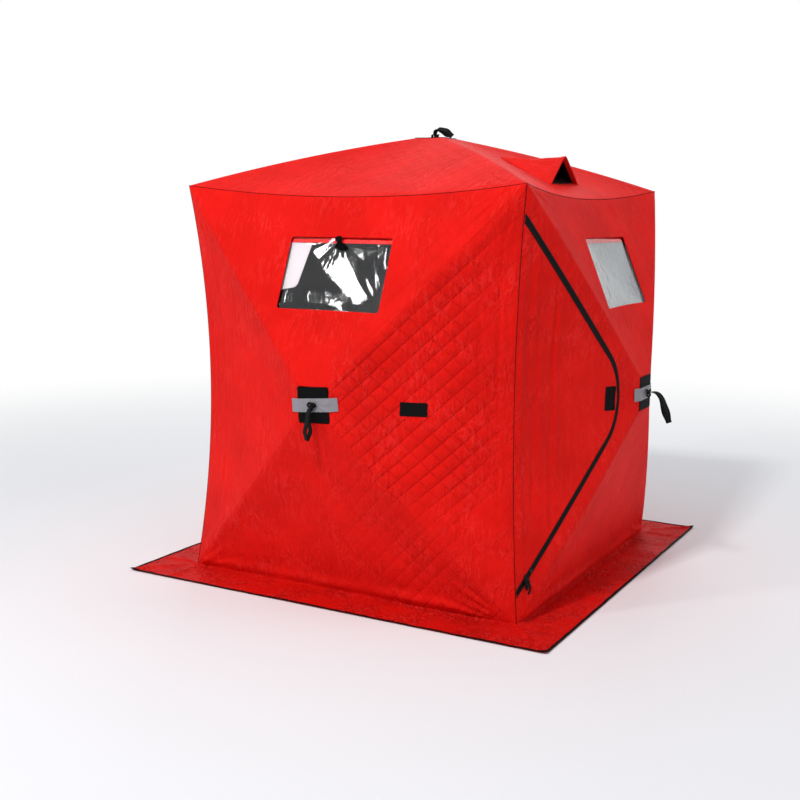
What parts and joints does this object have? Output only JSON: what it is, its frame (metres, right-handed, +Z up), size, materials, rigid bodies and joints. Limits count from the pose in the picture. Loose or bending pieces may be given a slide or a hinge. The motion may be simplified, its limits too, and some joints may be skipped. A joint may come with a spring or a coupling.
{
  "type": "pop-up ice fishing hut",
  "caption": "Pop-up ice fishing hut: square quilted fabric shelter pushed out by rods and hubs, with zipped corner door, clear windows, roof vent hood and ground skirt.",
  "frame": {"origin": "on the ground under the roof hub, at the centre of the hut's footprint", "axes": "+Z up, +X out of the wall with the door, -Y out of the front wall, whose corner with the door wall faces the camera"},
  "size_m": [2.4736, 2.4736, 2.2398],
  "materials": {
    "wall_fabric": "quilted woven polyester",
    "roof_fabric": "quilted woven polyester",
    "skirt_fabric": "coated woven polyester",
    "patch_fabric": "heavy woven polyester",
    "webbing": "woven nylon webbing",
    "hook_tape": "hook-and-loop tape",
    "zip_tape": "woven zip tape",
    "reflective_band": "grey reflective tape",
    "inner_flap": "coated blackout fabric",
    "window_film": "clear flexible film",
    "rod": "glass-fibre rod",
    "fitting_plastic": "moulded nylon"
  },
  "bodies": {
    "shelter": {"back_rods": "rod", "back_skirt": "skirt_fabric", "back_wall_bottom": "wall_fabric", "back_wall_left": "wall_fabric", "back_wall_right": "wall_fabric", "back_wall_top": "wall_fabric", "door_jamb": "wall_fabric", "door_surround_lower": "wall_fabric", "door_surround_upper": "wall_fabric", "door_surround_zip": "zip_tape", "eave_fittings": "fitting_plastic", "feet": "fitting_plastic", "front_rods": "rod", "front_skirt": "skirt_fabric", "front_wall_bottom": "wall_fabric", "front_wall_left": "wall_fabric", "front_wall_right": "wall_fabric", "front_wall_top": "wall_fabric", "hub_patches": "patch_fabric", "left_rods": "rod", "left_skirt": "skirt_fabric", "left_wall_bottom": "wall_fabric", "left_wall_left": "wall_fabric", "left_wall_right": "wall_fabric", "left_wall_top": "wall_fabric", "pull_straps": "webbing", "reflective_bands": "reflective_band", "right_rods": "rod", "right_skirt": "skirt_fabric", "right_wall_bottom": "wall_fabric", "right_wall_right": "wall_fabric", "right_wall_top": "wall_fabric", "roof_back": "roof_fabric", "roof_front": "roof_fabric", "roof_hub": "fitting_plastic", "roof_left": "roof_fabric", "roof_right": "roof_fabric", "roof_rods": "rod", "vent_hood": "roof_fabric", "wall_hook_patch": "hook_tape", "wall_hubs": "fitting_plastic", "window_films": "window_film", "window_flaps": "inner_flap"},
    "door": {"door_flap": "wall_fabric", "door_flap_zip": "zip_tape", "door_hook_patch": "hook_tape"}
  },
  "joints": [
    {"name": "door_fold", "type": "hinge", "parent": "shelter", "child": "door", "pos_m": [0.896, -0.863, 0.958], "axis": [0, 0, -1], "range_deg": [0, 210]}
  ]
}
